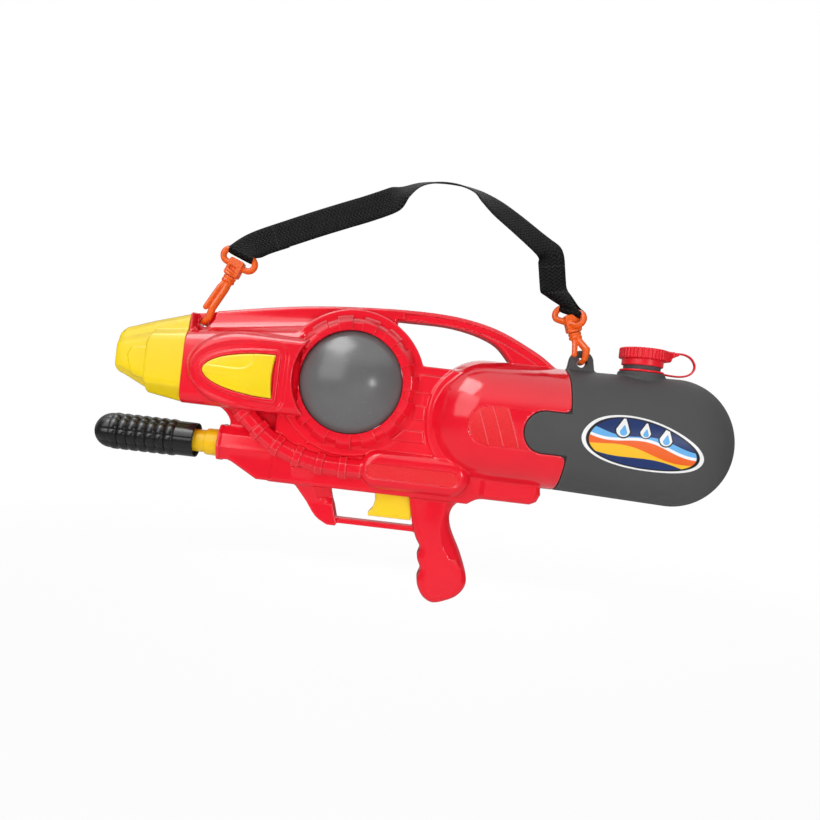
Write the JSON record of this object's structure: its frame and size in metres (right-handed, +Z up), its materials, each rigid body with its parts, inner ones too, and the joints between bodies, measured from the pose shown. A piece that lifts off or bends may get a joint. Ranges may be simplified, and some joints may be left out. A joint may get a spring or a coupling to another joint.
{
  "type": "water squirter",
  "caption": "Hand-pumped pressure water squirter with a domed pressure chamber, rear water tank with screw cap, trigger grip, sliding pump handle and a clipped-on shoulder strap.",
  "frame": {"origin": "middle of the grip, in the split plane of the housing, where a hand holds the toy", "axes": "+X along the barrel from the nozzle towards the tank, +Y to the right-hand side, +Z up"},
  "size_m": [0.576, 0.1096, 0.3842],
  "materials": {
    "red_plastic": "glossy moulded polypropylene",
    "yellow_plastic": "glossy moulded polypropylene",
    "amber_plastic": "satin moulded plastic",
    "dome_grey": "glossy blow-moulded plastic",
    "tank_grey": "matte blow-moulded plastic",
    "black_plastic": "satin moulded plastic",
    "cap_red": "satin moulded plastic",
    "orange_plastic": "satin moulded plastic",
    "webbing": "woven polypropylene webbing",
    "white_plastic": "plain moulded plastic",
    "hose": "soft vinyl hose",
    "seal_rubber": "moulded rubber",
    "steel": "zinc-plated steel"
  },
  "bodies": {
    "housing": {"housing_left": "red_plastic", "housing_right": "red_plastic", "nose_cone": "yellow_plastic", "side_insert_left": "yellow_plastic", "side_insert_right": "yellow_plastic", "pump_gland": "amber_plastic", "pressure_chamber": "dome_grey", "water_tank": "tank_grey", "front_clip_ring": "orange_plastic", "rear_clip_ring": "orange_plastic", "strap": "webbing", "nozzle": "white_plastic", "barrel_tube": "white_plastic", "delivery_tube": "white_plastic", "pump_cylinder": "white_plastic", "pickup_tube": "hose", "suction_hose": "hose", "outlet_valve": "seal_rubber", "inlet_valve": "seal_rubber", "trigger_spring": "steel", "housing_screw_1": "steel", "housing_screw_2": "steel", "housing_screw_3": "steel", "housing_screw_4": "steel", "housing_screw_5": "steel", "housing_screw_6": "steel", "housing_screw_7": "steel", "housing_screw_8": "steel"},
    "pump": {"pump_handle": "black_plastic", "pump_rod": "amber_plastic", "piston": "white_plastic", "piston_seal": "seal_rubber"},
    "trigger": {"trigger": "yellow_plastic", "valve_stem": "white_plastic"},
    "cap_turner": {"cap_tether": "cap_red"},
    "cap": {"tank_cap": "cap_red", "cap_seal": "seal_rubber"},
    "front_hook": {"front_clip_hook": "orange_plastic"},
    "rear_hook": {"rear_clip_hook": "orange_plastic"}
  },
  "joints": [
    {"name": "pump_slide", "type": "slide", "parent": "housing", "child": "pump", "axis": [1, 0, 0], "range_m": [-0.056, 0.019]},
    {"name": "trigger_pull", "type": "slide", "parent": "housing", "child": "trigger", "axis": [1, 0, 0], "range_m": [0, 0.008], "stiffness_N_per_m": 600, "springref_m": -0.004, "deforming": ["trigger_spring"]},
    {"name": "cap_turn", "type": "hinge", "parent": "housing", "child": "cap_turner", "pos_m": [0.162, 0, 0.188], "axis": [0, 0, 1], "range_deg": [0, 150]},
    {"name": "cap_lift", "type": "slide", "parent": "cap_turner", "child": "cap", "axis": [0, 0, 1], "range_m": [0, 0.0051]},
    {"name": "front_hook_turn", "type": "hinge", "parent": "housing", "child": "front_hook", "pos_m": [-0.22122, 0, 0.23218], "axis": [-0.3661, 0, -0.9306], "range_deg": [-12, 12]},
    {"name": "rear_hook_turn", "type": "hinge", "parent": "housing", "child": "rear_hook", "pos_m": [0.09693, 0, 0.21789], "axis": [0.3195, 0, -0.9476], "range_deg": [-12, 12]}
  ],
  "couplings": [
    {"joint": "cap_lift", "follows": "cap_turn", "m_per_rad": 0.00191}
  ]
}
